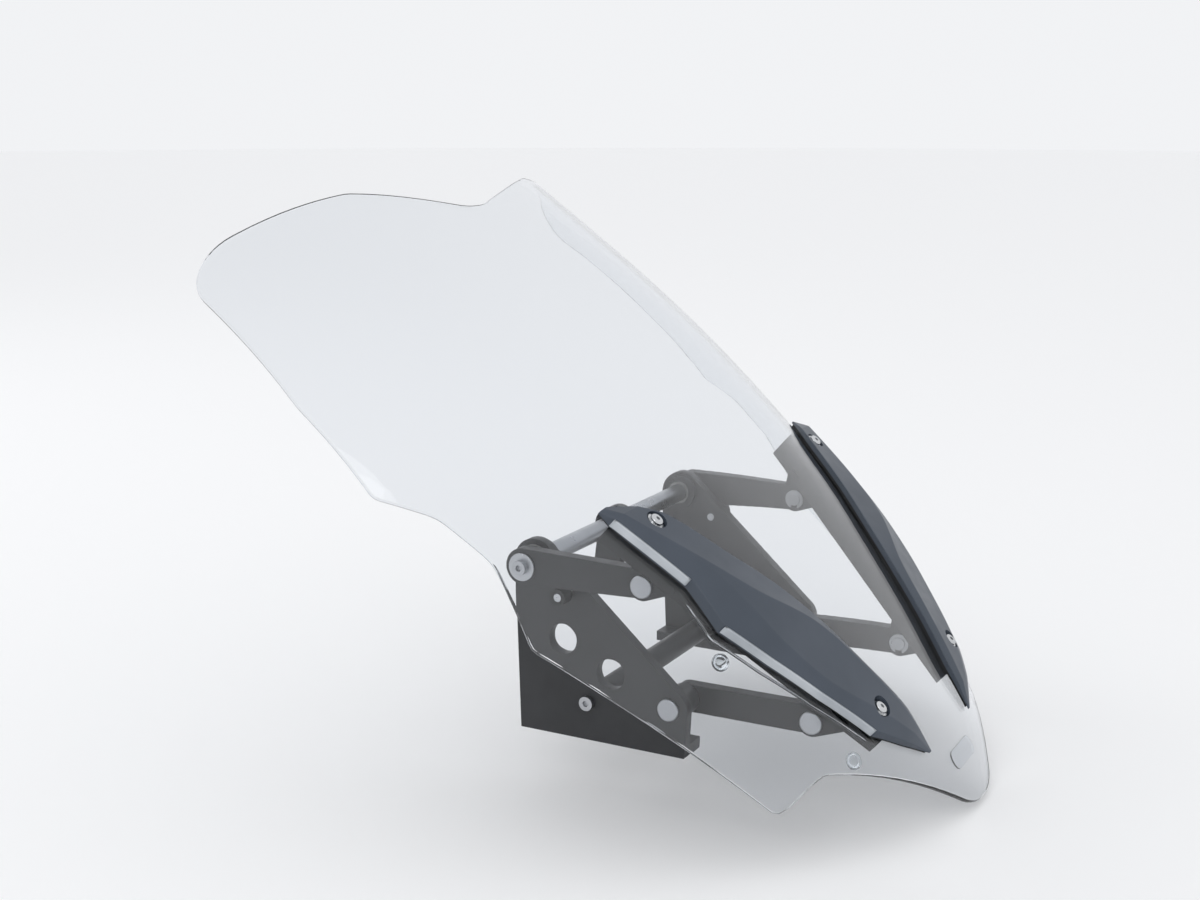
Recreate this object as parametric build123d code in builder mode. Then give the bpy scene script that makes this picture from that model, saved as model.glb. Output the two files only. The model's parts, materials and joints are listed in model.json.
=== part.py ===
"""Height-adjustable touring windshield: clear screen, trim covers and parallelogram lift.

Part frame, millimetres: +Z up, -Y towards the front wheel, +X to the rider's left.
The origin is the centre of the four base bolt holes, on the underside of the base feet.
"""
import os
from math import cos, radians, sin, sqrt

from build123d import *

os.makedirs("parts", exist_ok=True)

# ---------------------------------------------------------------- driving dimensions
SLOPE = 41.0  # angle of the screen above the horizontal

# lift linkage: two equal arms on each side, pivots in lines parallel to the screen
ARM_LENGTH = 95.0
PIVOT_SPACING = 140.0
FRONT_PIVOT_Y, FRONT_PIVOT_Z = -53.0, 34.0  # front pivot on the base bracket
PIVOT_UP_SLOPE = 112.0  # front carrier pivot, distance up the screen from its origin
PIVOT_DEPTH = 38.0  # carrier pivots, distance behind the screen's reference plane
RUNNING_GAP = 0.05  # radial clearance of every turning fit

# screen surface, a crowned section that changes up the slope
SHEET_THICKNESS = 4.0
SHEET_LENGTH = 600.0  # reference length of the section stations below
CENTRE_RISE = (-28.0, 10.0, 8.0, -2.0)  # centre line above the plane at 0, 1/3, 2/3 and 1
ROUND_DROP = (34.0, 4.0, 12.0)  # parabolic fall at the reference half-width: foot, middle, top
WING_DROP = (114.0, 40.0, 25.0)  # fourth-power fall at the reference half-width
HALF_WIDTH = 200.0  # reference half-width of the two falls
CUT_DEPTH = 250.0  # half-depth of the cuts made square to the screen plane
DEEP = 60.0  # length of a cut that only has to pass right through a piece
SURFACE_SPAN = (-30.0, 640.0)  # the surface is made larger than the outline: up the slope,
SURFACE_REACH = (205.0, 0.15)  # and across, as half-width at 0 and its growth up the slope
SURFACE_GRID = (21, 14)

# screen outline, half of it, as (x, distance up the slope, corner radius), from the nose up
OUTLINE = (
    (20, -6, 50),
    (138, 81, 12),
    (168, 81, 8),
    (232, 262, 20),
    (230, 320, 60),
    (240, 364, 60),
    (258, 400, 18),
    (259, 480, 160),
    (247, 616, 34),
    (124, 606, 40),
    (12, 573, 70),
)

# trim cover stations: distance up the slope, then (x, height above the sheet) of the
# inner edge, of the crest, of the shoulder and of the outer edge
TRIM_STATIONS = (
    (43, (45.5, 2.6), (46.5, 3.0), (47.5, 3.0), (48.5, 2.8)),
    (60, (48.0, 5.0), (53.0, 7.5), (62.0, 8.2), (72.9, 6.5)),
    (78, (50.0, 6.0), (56.5, 8.8), (78.0, 10.0), (94.9, 8.0)),
    (120, (64.5, 6.0), (71.0, 9.2), (110.0, 10.8), (119.0, 9.0)),
    (158, (77.0, 6.0), (88.0, 10.0), (127.0, 13.4), (137.8, 10.0)),
    (194, (92.0, 6.0), (119.5, 14.0), (135.0, 14.6), (152.7, 10.0)),
    (228, (110.0, 6.0), (138.0, 14.0), (142.0, 13.9), (153.1, 10.0)),
    (275, (133.0, 6.0), (159.5, 12.5), (161.0, 12.4), (166.3, 10.0)),
    (290, (147.0, 5.5), (165.8, 12.0), (167.0, 11.5), (169.9, 9.5)),
    (302, (164.0, 3.4), (167.0, 4.0), (168.5, 4.0), (170.5, 3.6)),
)
FACET_LEAST = 0.5  # least width of a facet of the cover
TRIM_FOOT = 14.0  # depth of the cover's blank below the sheet, cut away by the gasket's face
TRIM_WALL = 3.0
GASKET_THICKNESS = 2.0
GASKET_INSET = 1.2
SEAT_WALL = 3.0  # trim material under each washer
BOSS_RADIUS = 11.0
STRIP_WIDTH, STRIP_PROUD, STRIP_DROP = 5.8, 1.0, 0.2
UPPER_STRIP = (230.0, 291.0)  # from and to, up the slope
LOWER_STRIP = (79.0, 193.0)

# screen fixing: x, distance up the slope, height of the washer seat above the sheet
LOWER_FIXING = (80.0, 88.0, 5.8)
UPPER_FIXING = (145.0, 275.0, 5.5)
COUNTERBORE_RADIUS = 7.4
SCREW_RADIUS, SCREW_LENGTH = 2.5, 25.0
HEAD_RADIUS, HEAD_HEIGHT, HEX_FLATS = 4.75, 2.75, 3.0
WASHER_RADIUS, WASHER_THICKNESS = 6.2, 1.2
SLEEVE_RADIUS, SLEEVE_BORE = 3.5, 2.75
SLEEVE_FOOT = 9.0  # lower end of the sleeve below the sheet's outer face
GROMMET_RADIUS = 6.0
INSERT_LENGTH = 8.0
CLEAR_HOLE = 6.5  # hole in the gasket and the pad around the sleeve

# small pieces on the sheet
BADGE_UP_SLOPE, BADGE_WIDTH, BADGE_DEPTH, BADGE_CORNER, BADGE_HEIGHT = 26.0, 44.0, 13.0, 6.0, 0.8
BEAD_PLACES = (220, 194, 158, 120, 79)
BEAD_GAP, BEAD_WIDTH, BEAD_HEIGHT = 4.5, 1.3, 0.9
BUMPERS = ((158, 178), (114, 74))
BUMPER_RADIUS, BUMPER_FOOT = 6.0, 1.2
HEX_DEPTH, HEAD_ROUNDING = 1.7, 1.4

# screen carriers behind the sheet
CARRIER_WIDTH = 26.0
CARRIER_ENDS = (72.0, 292.0)
CARRIER_BOTTOM = -28.0
PAD_THICKNESS = 2.0
PAD_LIFT, PAD_INSET = 1.0, 1.5  # start of the pad inside the sheet, before the sheet is cut away
RAIL_GAP = 0.4
INSERT_POCKET = 15.0  # sleeve bore below the rail's lower face

# hinges
REAR_ARM_X, FRONT_ARM_X = 136.0, 92.0  # middle planes of the arms
ARM_THICKNESS = 10.0
PIN_RADIUS, BUSH_RADIUS = 5.0, 6.5
FORK_GAP = 0.4  # side clearance between an arm and each fork ear
EAR_THICKNESS, EAR_RADIUS = 4.0, 10.0
EAR_SPREAD, EAR_ROOT, EAR_ROOT_RADIUS = 16.0, 4.0, 3.0  # where an ear meets the rail
PIN_HEAD_RADIUS, PIN_HEAD, PIN_CHAMFER = 8.0, 2.5, 0.8
CLIP_THICKNESS, CLIP_RADIUS, CLIP_MOUTH = 1.2, 7.6, 5.0
PIN_TAIL, GROOVE_RADIUS = 2.4, 4.0

# base and drive
PLATE_IN, PLATE_OUT = 116.0, 124.0  # faces of the base bracket's plate
FOOT_IN, FOOT_LENGTH, FOOT_HEIGHT = 98.0, 130.0, 8.0
BOLT_X, BOLT_Y, BOLT_RADIUS = 107.0, 45.0, 3.3
SHAFT_RADIUS, SHAFT_BUSH_RADIUS = 7.0, 9.0
BUSH_FLANGE_RADIUS, BUSH_FLANGE = 12.0, 2.0
HUB_RADIUS = 13.0
BRACKET_MARGIN = 3.0  # plate left round the bosses of the base bracket
BUSH_BOSS = 4.0  # shaft bush boss inside the plate
LEVER_LENGTH, LEVER_ANGLE, LEVER_HOLE = 42.0, -80.0, 4.0
TUBE_Y, TUBE_Z, TUBE_RADIUS = 10.0, 28.0, 9.0
STOP_YZ = (25.0, 107.2)  # centre of the buffer under each rear arm
STOP_RADIUS, STOP_PEG_RADIUS = 6.0, 3.0
FRONT_BOSS_RADIUS = 11.0
LIGHTENING_HOLES, LIGHTENING_RADIUS = ((-8, 52), (30, 72)), 11.0
END_SCREW_RADIUS, END_HEAD_RADIUS, END_HEAD, END_THREAD, TUBE_THREAD = 3.0, 5.25, 4.0, 16.0, 20.0
END_SOCKET, END_SOCKET_DEPTH, END_WASHER = 4.0, 2.4, 1.6
LEVER_HUB, LEVER_PIN_RADIUS = 18.0, 2.0

# ---------------------------------------------------------------- reference frames
UP_SLOPE = Vector(0, cos(radians(SLOPE)), sin(radians(SLOPE)))
OUTWARD = Vector(0, -sin(radians(SLOPE)), cos(radians(SLOPE)))

FRONT_BASE = Vector(0, FRONT_PIVOT_Y, FRONT_PIVOT_Z)
REAR_BASE = FRONT_BASE + UP_SLOPE * PIVOT_SPACING
FRONT_SCREEN = FRONT_BASE - Vector(0, ARM_LENGTH, 0)
REAR_SCREEN = REAR_BASE - Vector(0, ARM_LENGTH, 0)

SCREEN_ORIGIN = FRONT_SCREEN - UP_SLOPE * PIVOT_UP_SLOPE + OUTWARD * PIVOT_DEPTH
SCREEN = Plane(origin=SCREEN_ORIGIN, x_dir=(1, 0, 0), z_dir=OUTWARD)  # local: x, up slope, out


def side_plane(x):
    """Plane across the vehicle at x, with local axes +Y and +Z and normal +X."""
    return Plane.YZ.offset(x)


def screen_side_plane(x):
    """Plane across the vehicle at x, with local axes up the slope and outward, normal +X."""
    return Plane(origin=SCREEN_ORIGIN + Vector(x, 0, 0), x_dir=UP_SLOPE, z_dir=(1, 0, 0))


def section_plane(s):
    """Plane square to the slope at s, with local axes +X and outward."""
    return Plane(origin=SCREEN_ORIGIN + UP_SLOPE * s, x_dir=(1, 0, 0), z_dir=-UP_SLOPE)


# ---------------------------------------------------------------- screen surface
def through(values, t):
    """Polynomial through values at equal steps of t from 0 to 1."""
    last = len(values) - 1
    total = 0.0
    for i, value in enumerate(values):
        for j in range(last + 1):
            if j != i:
                value *= (t * last - j) / (i - j)
        total += value
    return total


def sheet_height(x, s):
    """Outer face of the sheet above the screen plane."""
    t = s / SHEET_LENGTH
    u = (x / HALF_WIDTH) ** 2
    return through(CENTRE_RISE, t) - through(ROUND_DROP, t) * u - through(WING_DROP, t) * u * u


def sheet_point(x, s):
    return SCREEN_ORIGIN + Vector(x, 0, 0) + UP_SLOPE * s + OUTWARD * sheet_height(x, s)


def normal_plane(x, s):
    """Plane on the sheet's outer face, with its normal square to the face."""
    step = 1.0
    across = sheet_point(x + step, s) - sheet_point(x - step, s)
    along = sheet_point(x, s + step) - sheet_point(x, s - step)
    return Plane(origin=sheet_point(x, s), x_dir=across, z_dir=across.cross(along))


def surface_face():
    """The sheet's outer face, larger than the outline all round."""
    columns, rows = SURFACE_GRID
    low, high = SURFACE_SPAN
    grid = []
    for row in range(rows):
        s = low + (high - low) * row / (rows - 1)
        reach = SURFACE_REACH[0] + SURFACE_REACH[1] * s
        line = [-reach + 2 * reach * column / (columns - 1) for column in range(columns)]
        grid.append([sheet_point(x, s) for x in line])
    return Face.make_surface_from_array_of_points(grid)


def mirrored(piece):
    """The same piece for the other side."""
    with BuildPart() as other:
        mirror(piece.part, about=Plane.YZ)
    return other


def finish(piece, label):
    piece.part.label = label
    export_step(piece.part, f"parts/{label}.step")


# ---------------------------------------------------------------- clear sheet
OUTER_FACE = surface_face()

with BuildPart() as sheet_blank:
    thicken(OUTER_FACE, amount=SHEET_THICKNESS, normal_override=-OUTWARD)
    with BuildSketch(SCREEN.offset(-CUT_DEPTH)):
        with BuildLine():
            half = [((x, s), r) for x, s, r in OUTLINE]
            other_half = [((-x, s), r) for (x, s), r in reversed(half)]
            FilletPolyline(
                [point for point, _ in half + other_half],
                radius=[r for _, r in half + other_half],
                close=True,
            )
        make_face()
    extrude(amount=2 * CUT_DEPTH, mode=Mode.INTERSECT)

FIXINGS = [
    (side * x, s, sheet_height(x, s), seat)
    for side in (-1, 1)
    for x, s, seat in (LOWER_FIXING, UPPER_FIXING)
]

with BuildPart() as windshield_sheet:
    add(sheet_blank.part)
    with BuildSketch(SCREEN.offset(-CUT_DEPTH)):
        with Locations(*[(x, s) for x, s, _, _ in FIXINGS]):
            Circle(GROMMET_RADIUS)
    extrude(amount=2 * CUT_DEPTH, mode=Mode.SUBTRACT)
finish(windshield_sheet, "windshield_sheet")

# ---------------------------------------------------------------- shared shapes
def ring(plane, points, radius, length, bore=0.0, mode=Mode.ADD):
    """Discs or rings at points of plane, extruded along its normal in the part being built."""
    with BuildSketch(plane) as section:
        with Locations(*points):
            Circle(radius)
            if bore:
                Circle(bore, mode=Mode.SUBTRACT)
    extrude(section.sketch, amount=length, mode=mode)


def hull_link(plane, ends, thickness):
    """Flat link: the hull of circles given as (point, radius)."""
    with BuildSketch(plane) as outline:
        for point, radius in ends:
            with Locations(point):
                Circle(radius)
        make_hull()
    extrude(outline.sketch, amount=thickness)


def screen_prism(points, low, high, mode=Mode.ADD):
    """Straight-sided block over a polygon of the screen plane, between two heights."""
    with BuildSketch(SCREEN.offset(low)) as outline:
        Polygon(*points, align=None)
    extrude(outline.sketch, amount=high - low, mode=mode)


# ---------------------------------------------------------------- trim covers
def trim_section(station, inset=0.0):
    """Six-sided section of the cover across the slope, its foot sunk below the sheet."""
    s, (inner, lip), (crest, crest_height), (shoulder, shoulder_height), (outer, edge_height) = station
    inner, outer = inner + inset, outer - inset
    shoulder = min(shoulder, outer - FACET_LEAST)
    crest = min(max(crest, inner + FACET_LEAST), shoulder - FACET_LEAST)
    corners = (
        (inner, -TRIM_FOOT),
        (outer, -TRIM_FOOT),
        (outer, edge_height - inset),
        (shoulder, shoulder_height - inset),
        (crest, crest_height - inset),
        (inner, lip - inset),
    )
    return [(x, sheet_height(x, s) + height) for x, height in corners]


def trim_blade(stations, inset=0.0):
    """Faceted blade lofted straight from station to station."""
    sections = []
    for station in stations:
        with BuildSketch(section_plane(station[0])) as section:
            Polygon(*trim_section(station, inset), align=None)
        sections.append(section.sketch.faces()[0])
    loft(sections, ruled=True)


def outer_edge(s):
    """Outer edge of the trim cover at s: its x and its height above the sheet."""
    for low, high in zip(TRIM_STATIONS, TRIM_STATIONS[1:]):
        if low[0] <= s <= high[0]:
            share = (s - low[0]) / (high[0] - low[0])
            return tuple(start + share * (end - start) for start, end in zip(low[-1], high[-1]))
    raise ValueError("outside the trim cover")


def inset_outline(inset):
    """Plan of the trim cover on the screen plane, drawn in by inset."""
    body = TRIM_STATIONS[1:-1]
    outer = [(station[-1][0] - inset, station[0]) for station in body]
    inner = [(station[1][0] + inset, station[0]) for station in reversed(body)]
    first, last = TRIM_STATIONS[0], TRIM_STATIONS[-1]
    foot = (first[2][0], first[0] + 2 * inset)
    top = (last[2][0] - inset, last[0] - inset)
    return [foot] + outer + [top] + inner


LEFT_FIXINGS = [fixing for fixing in FIXINGS if fixing[0] > 0]

with BuildPart() as trim_pocket:
    trim_blade(TRIM_STATIONS[2:-1], inset=TRIM_WALL)
    for x, s, height, seat in LEFT_FIXINGS:
        ring(SCREEN.offset(height - DEEP), [(x, s)], BOSS_RADIUS, 2 * DEEP, mode=Mode.SUBTRACT)

with BuildPart() as trim_cover_left:
    trim_blade(TRIM_STATIONS)
    gasket_face = OUTER_FACE.translate(OUTWARD * GASKET_THICKNESS)
    extrude(gasket_face, amount=DEEP, dir=-OUTWARD, mode=Mode.SUBTRACT)
    add(trim_pocket.part, mode=Mode.SUBTRACT)
    for x, s, height, seat in LEFT_FIXINGS:
        low = SCREEN.offset(height - DEEP)
        ring(SCREEN.offset(height + seat), [(x, s)], COUNTERBORE_RADIUS, DEEP, mode=Mode.SUBTRACT)
        ring(low, [(x, s)], SLEEVE_BORE, 2 * DEEP, mode=Mode.SUBTRACT)
        ring(low, [(x, s)], SLEEVE_RADIUS, DEEP + seat - SEAT_WALL, mode=Mode.SUBTRACT)
finish(trim_cover_left, "trim_cover_left")

trim_cover_right = mirrored(trim_cover_left)
finish(trim_cover_right, "trim_cover_right")


for place, span in (("upper", UPPER_STRIP), ("lower", LOWER_STRIP)):
    low, high = span
    places = [low] + [station[0] for station in TRIM_STATIONS if low < station[0] < high] + [high]
    with BuildPart() as strip_left:
        for s in places:
            edge, height = outer_edge(s)
            top = sheet_height(edge, s) + height - STRIP_DROP
            with BuildSketch(section_plane(s)):
                with Locations((edge, top)):
                    Rectangle(2 * STRIP_PROUD, STRIP_WIDTH, align=(Align.CENTER, Align.MAX))
        loft(ruled=True)
        add(trim_cover_left.part, mode=Mode.SUBTRACT)
    finish(strip_left, f"{place}_strip_left")
    strip_right = mirrored(strip_left)
    finish(strip_right, f"{place}_strip_right")

with BuildPart() as trim_gasket_left:
    extrude(OUTER_FACE, amount=GASKET_THICKNESS, dir=OUTWARD)
    screen_prism(inset_outline(GASKET_INSET), -CUT_DEPTH, CUT_DEPTH, mode=Mode.INTERSECT)
    for x, s, height, seat in LEFT_FIXINGS:
        ring(SCREEN.offset(height - DEEP), [(x, s)], CLEAR_HOLE, 2 * DEEP, mode=Mode.SUBTRACT)
finish(trim_gasket_left, "trim_gasket_left")
trim_gasket_right = mirrored(trim_gasket_left)
finish(trim_gasket_right, "trim_gasket_right")

with BuildPart() as nose_badge:
    extrude(OUTER_FACE, amount=BADGE_HEIGHT, dir=OUTWARD)
    with BuildSketch(SCREEN.offset(-CUT_DEPTH)) as badge_outline:
        with Locations((0, BADGE_UP_SLOPE)):
            RectangleRounded(BADGE_WIDTH, BADGE_DEPTH, BADGE_CORNER)
    extrude(badge_outline.sketch, amount=2 * CUT_DEPTH, mode=Mode.INTERSECT)
finish(nose_badge, "nose_badge")

with BuildPart() as guide_beads:
    for side in (-1, 1):
        sections = []
        for s in BEAD_PLACES:
            edge, _ = outer_edge(s)
            with BuildSketch(section_plane(s)) as section:
                with Locations((side * (edge + BEAD_GAP), sheet_height(edge + BEAD_GAP, s))):
                    Rectangle(BEAD_WIDTH, 2 * BEAD_HEIGHT)
            sections.append(section.sketch.faces()[0])
        loft(sections, ruled=True)
    extrude(OUTER_FACE, amount=DEEP, dir=-OUTWARD, mode=Mode.SUBTRACT)
finish(guide_beads, "guide_beads")

with BuildPart() as stop_bumpers:
    for side in (-1, 1):
        for x, s in BUMPERS:
            seat = normal_plane(side * x, s)
            ring(seat.offset(-SHEET_THICKNESS - BUMPER_FOOT), [(0, 0)], BUMPER_RADIUS, 2 * BUMPER_FOOT)
            with Locations(seat.offset(-SHEET_THICKNESS - BUMPER_FOOT)):
                Sphere(BUMPER_RADIUS - 1, arc_size1=-90, arc_size2=0)
    add(sheet_blank.part, mode=Mode.SUBTRACT)
    extrude(OUTER_FACE, amount=DEEP, dir=OUTWARD, mode=Mode.SUBTRACT)
finish(stop_bumpers, "stop_bumpers")

# ---------------------------------------------------------------- screen fixings
with BuildPart() as screen_screws:
    for x, s, height, seat in FIXINGS:
        under_head = height + seat + WASHER_THICKNESS
        ring(SCREEN.offset(under_head - SCREW_LENGTH), [(x, s)], SCREW_RADIUS, SCREW_LENGTH + 0.5)
        ring(SCREEN.offset(under_head), [(x, s)], HEAD_RADIUS, HEAD_HEIGHT)
        with BuildSketch(SCREEN.offset(under_head + HEAD_HEIGHT - HEX_DEPTH)) as socket:
            with Locations((x, s)):
                RegularPolygon(HEX_FLATS / 2, 6, major_radius=False)
        extrude(socket.sketch, amount=HEX_DEPTH, mode=Mode.SUBTRACT)
    rims = screen_screws.edges().filter_by(GeomType.CIRCLE).filter_by(
        lambda edge: abs(edge.radius - HEAD_RADIUS) < 0.01
    )
    top_rims = [rim for rim in rims if any(
        abs(SCREEN.to_local_coords(rim.arc_center).Z - (h + seat + WASHER_THICKNESS + HEAD_HEIGHT)) < 0.1
        for _, _, h, seat in FIXINGS
    )]
    fillet(top_rims, HEAD_ROUNDING)
finish(screen_screws, "screen_screws")

with BuildPart() as screw_washers:
    for x, s, height, seat in FIXINGS:
        ring(SCREEN.offset(height + seat), [(x, s)], WASHER_RADIUS, WASHER_THICKNESS, SLEEVE_BORE)
finish(screw_washers, "screw_washers")

with BuildPart() as spacer_sleeves:
    for x, s, height, seat in FIXINGS:
        length = SLEEVE_FOOT + seat - SEAT_WALL
        ring(SCREEN.offset(height - SLEEVE_FOOT), [(x, s)], SLEEVE_RADIUS, length, SLEEVE_BORE)
finish(spacer_sleeves, "spacer_sleeves")

with BuildPart() as sheet_grommets:
    for x, s, height, seat in FIXINGS:
        ring(SCREEN.offset(height - DEEP), [(x, s)], GROMMET_RADIUS, 2 * DEEP, SLEEVE_RADIUS)
    add(sheet_blank.part, mode=Mode.INTERSECT)
finish(sheet_grommets, "sheet_grommets")

with BuildPart() as threaded_inserts:
    for x, s, height, seat in FIXINGS:
        low = height - SLEEVE_FOOT - INSERT_LENGTH
        ring(SCREEN.offset(low), [(x, s)], SLEEVE_RADIUS, INSERT_LENGTH, SCREW_RADIUS)
finish(threaded_inserts, "threaded_inserts")

# ---------------------------------------------------------------- carriers behind the sheet
FIXING_SLOPE = (UPPER_FIXING[0] - LOWER_FIXING[0]) / (UPPER_FIXING[1] - LOWER_FIXING[1])
HALF_RAIL = CARRIER_WIDTH / 2 * sqrt(1 + FIXING_SLOPE**2)


def rail_outline(trim):
    """Plan of the rail along the line through both fixings, narrowed by trim on each side."""
    points = []
    low, high = CARRIER_ENDS
    for s, side in ((low, -1), (low, 1), (high, 1), (high, -1)):
        x = LOWER_FIXING[0] + FIXING_SLOPE * (s - LOWER_FIXING[1]) + side * (HALF_RAIL - trim)
        points.append((x, s))
    return points


def carrier_fork(pivot_s, arm_x):
    """Two ears under the rail with a bore for the hinge pin."""
    half_gap = ARM_THICKNESS / 2 + FORK_GAP
    for face in (arm_x - half_gap - EAR_THICKNESS, arm_x + half_gap):
        plane = screen_side_plane(face)
        ends = [((pivot_s, -PIVOT_DEPTH), EAR_RADIUS)]
        for shift in (-EAR_SPREAD, EAR_SPREAD):
            ends.append(((pivot_s + shift, CARRIER_BOTTOM + EAR_ROOT), EAR_ROOT_RADIUS))
        hull_link(plane, ends, EAR_THICKNESS)
        ring(plane, [(pivot_s, -PIVOT_DEPTH)], PIN_RADIUS, EAR_THICKNESS, mode=Mode.SUBTRACT)


REAR_PIVOT_S = PIVOT_UP_SLOPE + PIVOT_SPACING
RAIL_TOP = SHEET_THICKNESS + PAD_THICKNESS + RAIL_GAP

with BuildPart() as carrier_left:
    screen_prism(rail_outline(0), CARRIER_BOTTOM, DEEP)
    rail_face = OUTER_FACE.translate(-OUTWARD * RAIL_TOP)
    extrude(rail_face, amount=2 * DEEP, dir=OUTWARD, mode=Mode.SUBTRACT)
    for pivot_s, arm_x in ((PIVOT_UP_SLOPE, FRONT_ARM_X), (REAR_PIVOT_S, REAR_ARM_X)):
        carrier_fork(pivot_s, arm_x)
    for x, s, height, seat in LEFT_FIXINGS:
        low = SCREEN.offset(CARRIER_BOTTOM - INSERT_POCKET)
        ring(low, [(x, s)], SLEEVE_RADIUS, DEEP, mode=Mode.SUBTRACT)
finish(carrier_left, "carrier_left")
carrier_right = mirrored(carrier_left)
finish(carrier_right, "carrier_right")

with BuildPart() as carrier_pad_left:
    extrude(OUTER_FACE.translate(-OUTWARD * PAD_LIFT), amount=RAIL_TOP - PAD_LIFT, dir=-OUTWARD)
    screen_prism(rail_outline(PAD_INSET), -CUT_DEPTH, CUT_DEPTH, mode=Mode.INTERSECT)
    add(sheet_blank.part, mode=Mode.SUBTRACT)
    for x, s, height, seat in LEFT_FIXINGS:
        ring(SCREEN.offset(height - DEEP), [(x, s)], CLEAR_HOLE, 2 * DEEP, mode=Mode.SUBTRACT)
finish(carrier_pad_left, "carrier_pad_left")
carrier_pad_right = mirrored(carrier_pad_left)
finish(carrier_pad_right, "carrier_pad_right")

# ---------------------------------------------------------------- lift arms
REAR_BASE_YZ = (REAR_BASE.Y, REAR_BASE.Z)
REAR_SCREEN_YZ = (REAR_SCREEN.Y, REAR_SCREEN.Z)
FRONT_BASE_YZ = (FRONT_BASE.Y, FRONT_BASE.Z)
FRONT_SCREEN_YZ = (FRONT_SCREEN.Y, FRONT_SCREEN.Z)
REAR_ARM_IN, REAR_ARM_OUT = REAR_ARM_X - ARM_THICKNESS / 2, REAR_ARM_X + ARM_THICKNESS / 2
FRONT_ARM_IN, FRONT_ARM_OUT = FRONT_ARM_X - ARM_THICKNESS / 2, FRONT_ARM_X + ARM_THICKNESS / 2

with BuildPart() as drive_arm_left:
    ends = [(REAR_BASE_YZ, HUB_RADIUS), (REAR_SCREEN_YZ, EAR_RADIUS)]
    hull_link(side_plane(REAR_ARM_IN), ends, ARM_THICKNESS)
    hub_face = PLATE_OUT + BUSH_FLANGE + FORK_GAP
    ring(side_plane(hub_face), [REAR_BASE_YZ], BUSH_FLANGE_RADIUS - 1, REAR_ARM_IN - hub_face)
    ring(side_plane(hub_face), [REAR_BASE_YZ], SHAFT_RADIUS, DEEP, mode=Mode.SUBTRACT)
    ring(side_plane(REAR_ARM_IN), [REAR_SCREEN_YZ], BUSH_RADIUS, ARM_THICKNESS, mode=Mode.SUBTRACT)
finish(drive_arm_left, "drive_arm_left")
drive_arm_right = mirrored(drive_arm_left)
finish(drive_arm_right, "drive_arm_right")

with BuildPart() as guide_arm_left:
    ends = [(FRONT_BASE_YZ, EAR_RADIUS), (FRONT_SCREEN_YZ, EAR_RADIUS)]
    hull_link(side_plane(FRONT_ARM_IN), ends, ARM_THICKNESS)
    eyes = [FRONT_BASE_YZ, FRONT_SCREEN_YZ]
    ring(side_plane(FRONT_ARM_IN), eyes, BUSH_RADIUS, ARM_THICKNESS, mode=Mode.SUBTRACT)
finish(guide_arm_left, "guide_arm_left")
guide_arm_right = mirrored(guide_arm_left)
finish(guide_arm_right, "guide_arm_right")

BUSH_BORE = PIN_RADIUS + RUNNING_GAP

with BuildPart() as guide_bushes_left:
    ring(side_plane(FRONT_ARM_IN), eyes, BUSH_RADIUS, ARM_THICKNESS, BUSH_BORE)
finish(guide_bushes_left, "guide_bushes_left")
guide_bushes_right = mirrored(guide_bushes_left)
finish(guide_bushes_right, "guide_bushes_right")

with BuildPart() as drive_arm_bushes:
    for face in (-REAR_ARM_OUT, REAR_ARM_IN):
        ring(side_plane(face), [REAR_SCREEN_YZ], BUSH_RADIUS, ARM_THICKNESS, BUSH_BORE)
finish(drive_arm_bushes, "drive_arm_bushes")

# ---------------------------------------------------------------- cross shaft and drive lever
with BuildPart() as torque_shaft:
    ring(side_plane(-REAR_ARM_OUT), [REAR_BASE_YZ], SHAFT_RADIUS, 2 * REAR_ARM_OUT)
    for face in (-REAR_ARM_OUT, REAR_ARM_OUT - END_THREAD):
        ring(side_plane(face), [REAR_BASE_YZ], END_SCREW_RADIUS, END_THREAD, mode=Mode.SUBTRACT)
    with BuildSketch(Plane(origin=REAR_BASE, z_dir=(0, 0, 1))) as pin_hole:
        Circle(LEVER_PIN_RADIUS)
    extrude(pin_hole.sketch, amount=HUB_RADIUS, both=True, mode=Mode.SUBTRACT)
finish(torque_shaft, "torque_shaft")

LEVER_END = REAR_BASE + Vector(0, cos(radians(LEVER_ANGLE)), sin(radians(LEVER_ANGLE))) * LEVER_LENGTH
LEVER_END_YZ = (LEVER_END.Y, LEVER_END.Z)

with BuildPart() as drive_lever:
    ring(side_plane(-LEVER_HUB / 2), [REAR_BASE_YZ], HUB_RADIUS, LEVER_HUB)
    ends = [(REAR_BASE_YZ, HUB_RADIUS - 1), (LEVER_END_YZ, EAR_RADIUS)]
    hull_link(side_plane(-ARM_THICKNESS / 2), ends, ARM_THICKNESS)
    ring(side_plane(-LEVER_HUB / 2), [REAR_BASE_YZ], SHAFT_RADIUS, LEVER_HUB, mode=Mode.SUBTRACT)
    ring(side_plane(-LEVER_HUB / 2), [LEVER_END_YZ], LEVER_HOLE, LEVER_HUB, mode=Mode.SUBTRACT)
    extrude(pin_hole.sketch, amount=HUB_RADIUS, both=True, mode=Mode.SUBTRACT)
finish(drive_lever, "drive_lever")

with BuildPart() as lever_pin:
    extrude(pin_hole.sketch, amount=HUB_RADIUS - 1, both=True)
finish(lever_pin, "lever_pin")


def end_fasteners(label, washer_radius, face, point, thread):
    """Washer-faced screws pointing inward from both sides at the same point."""
    with BuildPart() as screws:
        ring(side_plane(face), [point], washer_radius, END_HEAD)
        ring(side_plane(face - thread), [point], END_SCREW_RADIUS, thread)
        with BuildSketch(side_plane(face + END_HEAD - END_SOCKET_DEPTH)) as socket:
            with Locations(point):
                RegularPolygon(END_SOCKET / 2, 6, major_radius=False)
        extrude(socket.sketch, amount=END_SOCKET_DEPTH, mode=Mode.SUBTRACT)
        mirror(about=Plane.YZ)
    finish(screws, label)


end_fasteners("shaft_end_screws", END_HEAD_RADIUS, REAR_ARM_OUT + END_WASHER, REAR_BASE_YZ, END_THREAD)

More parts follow.
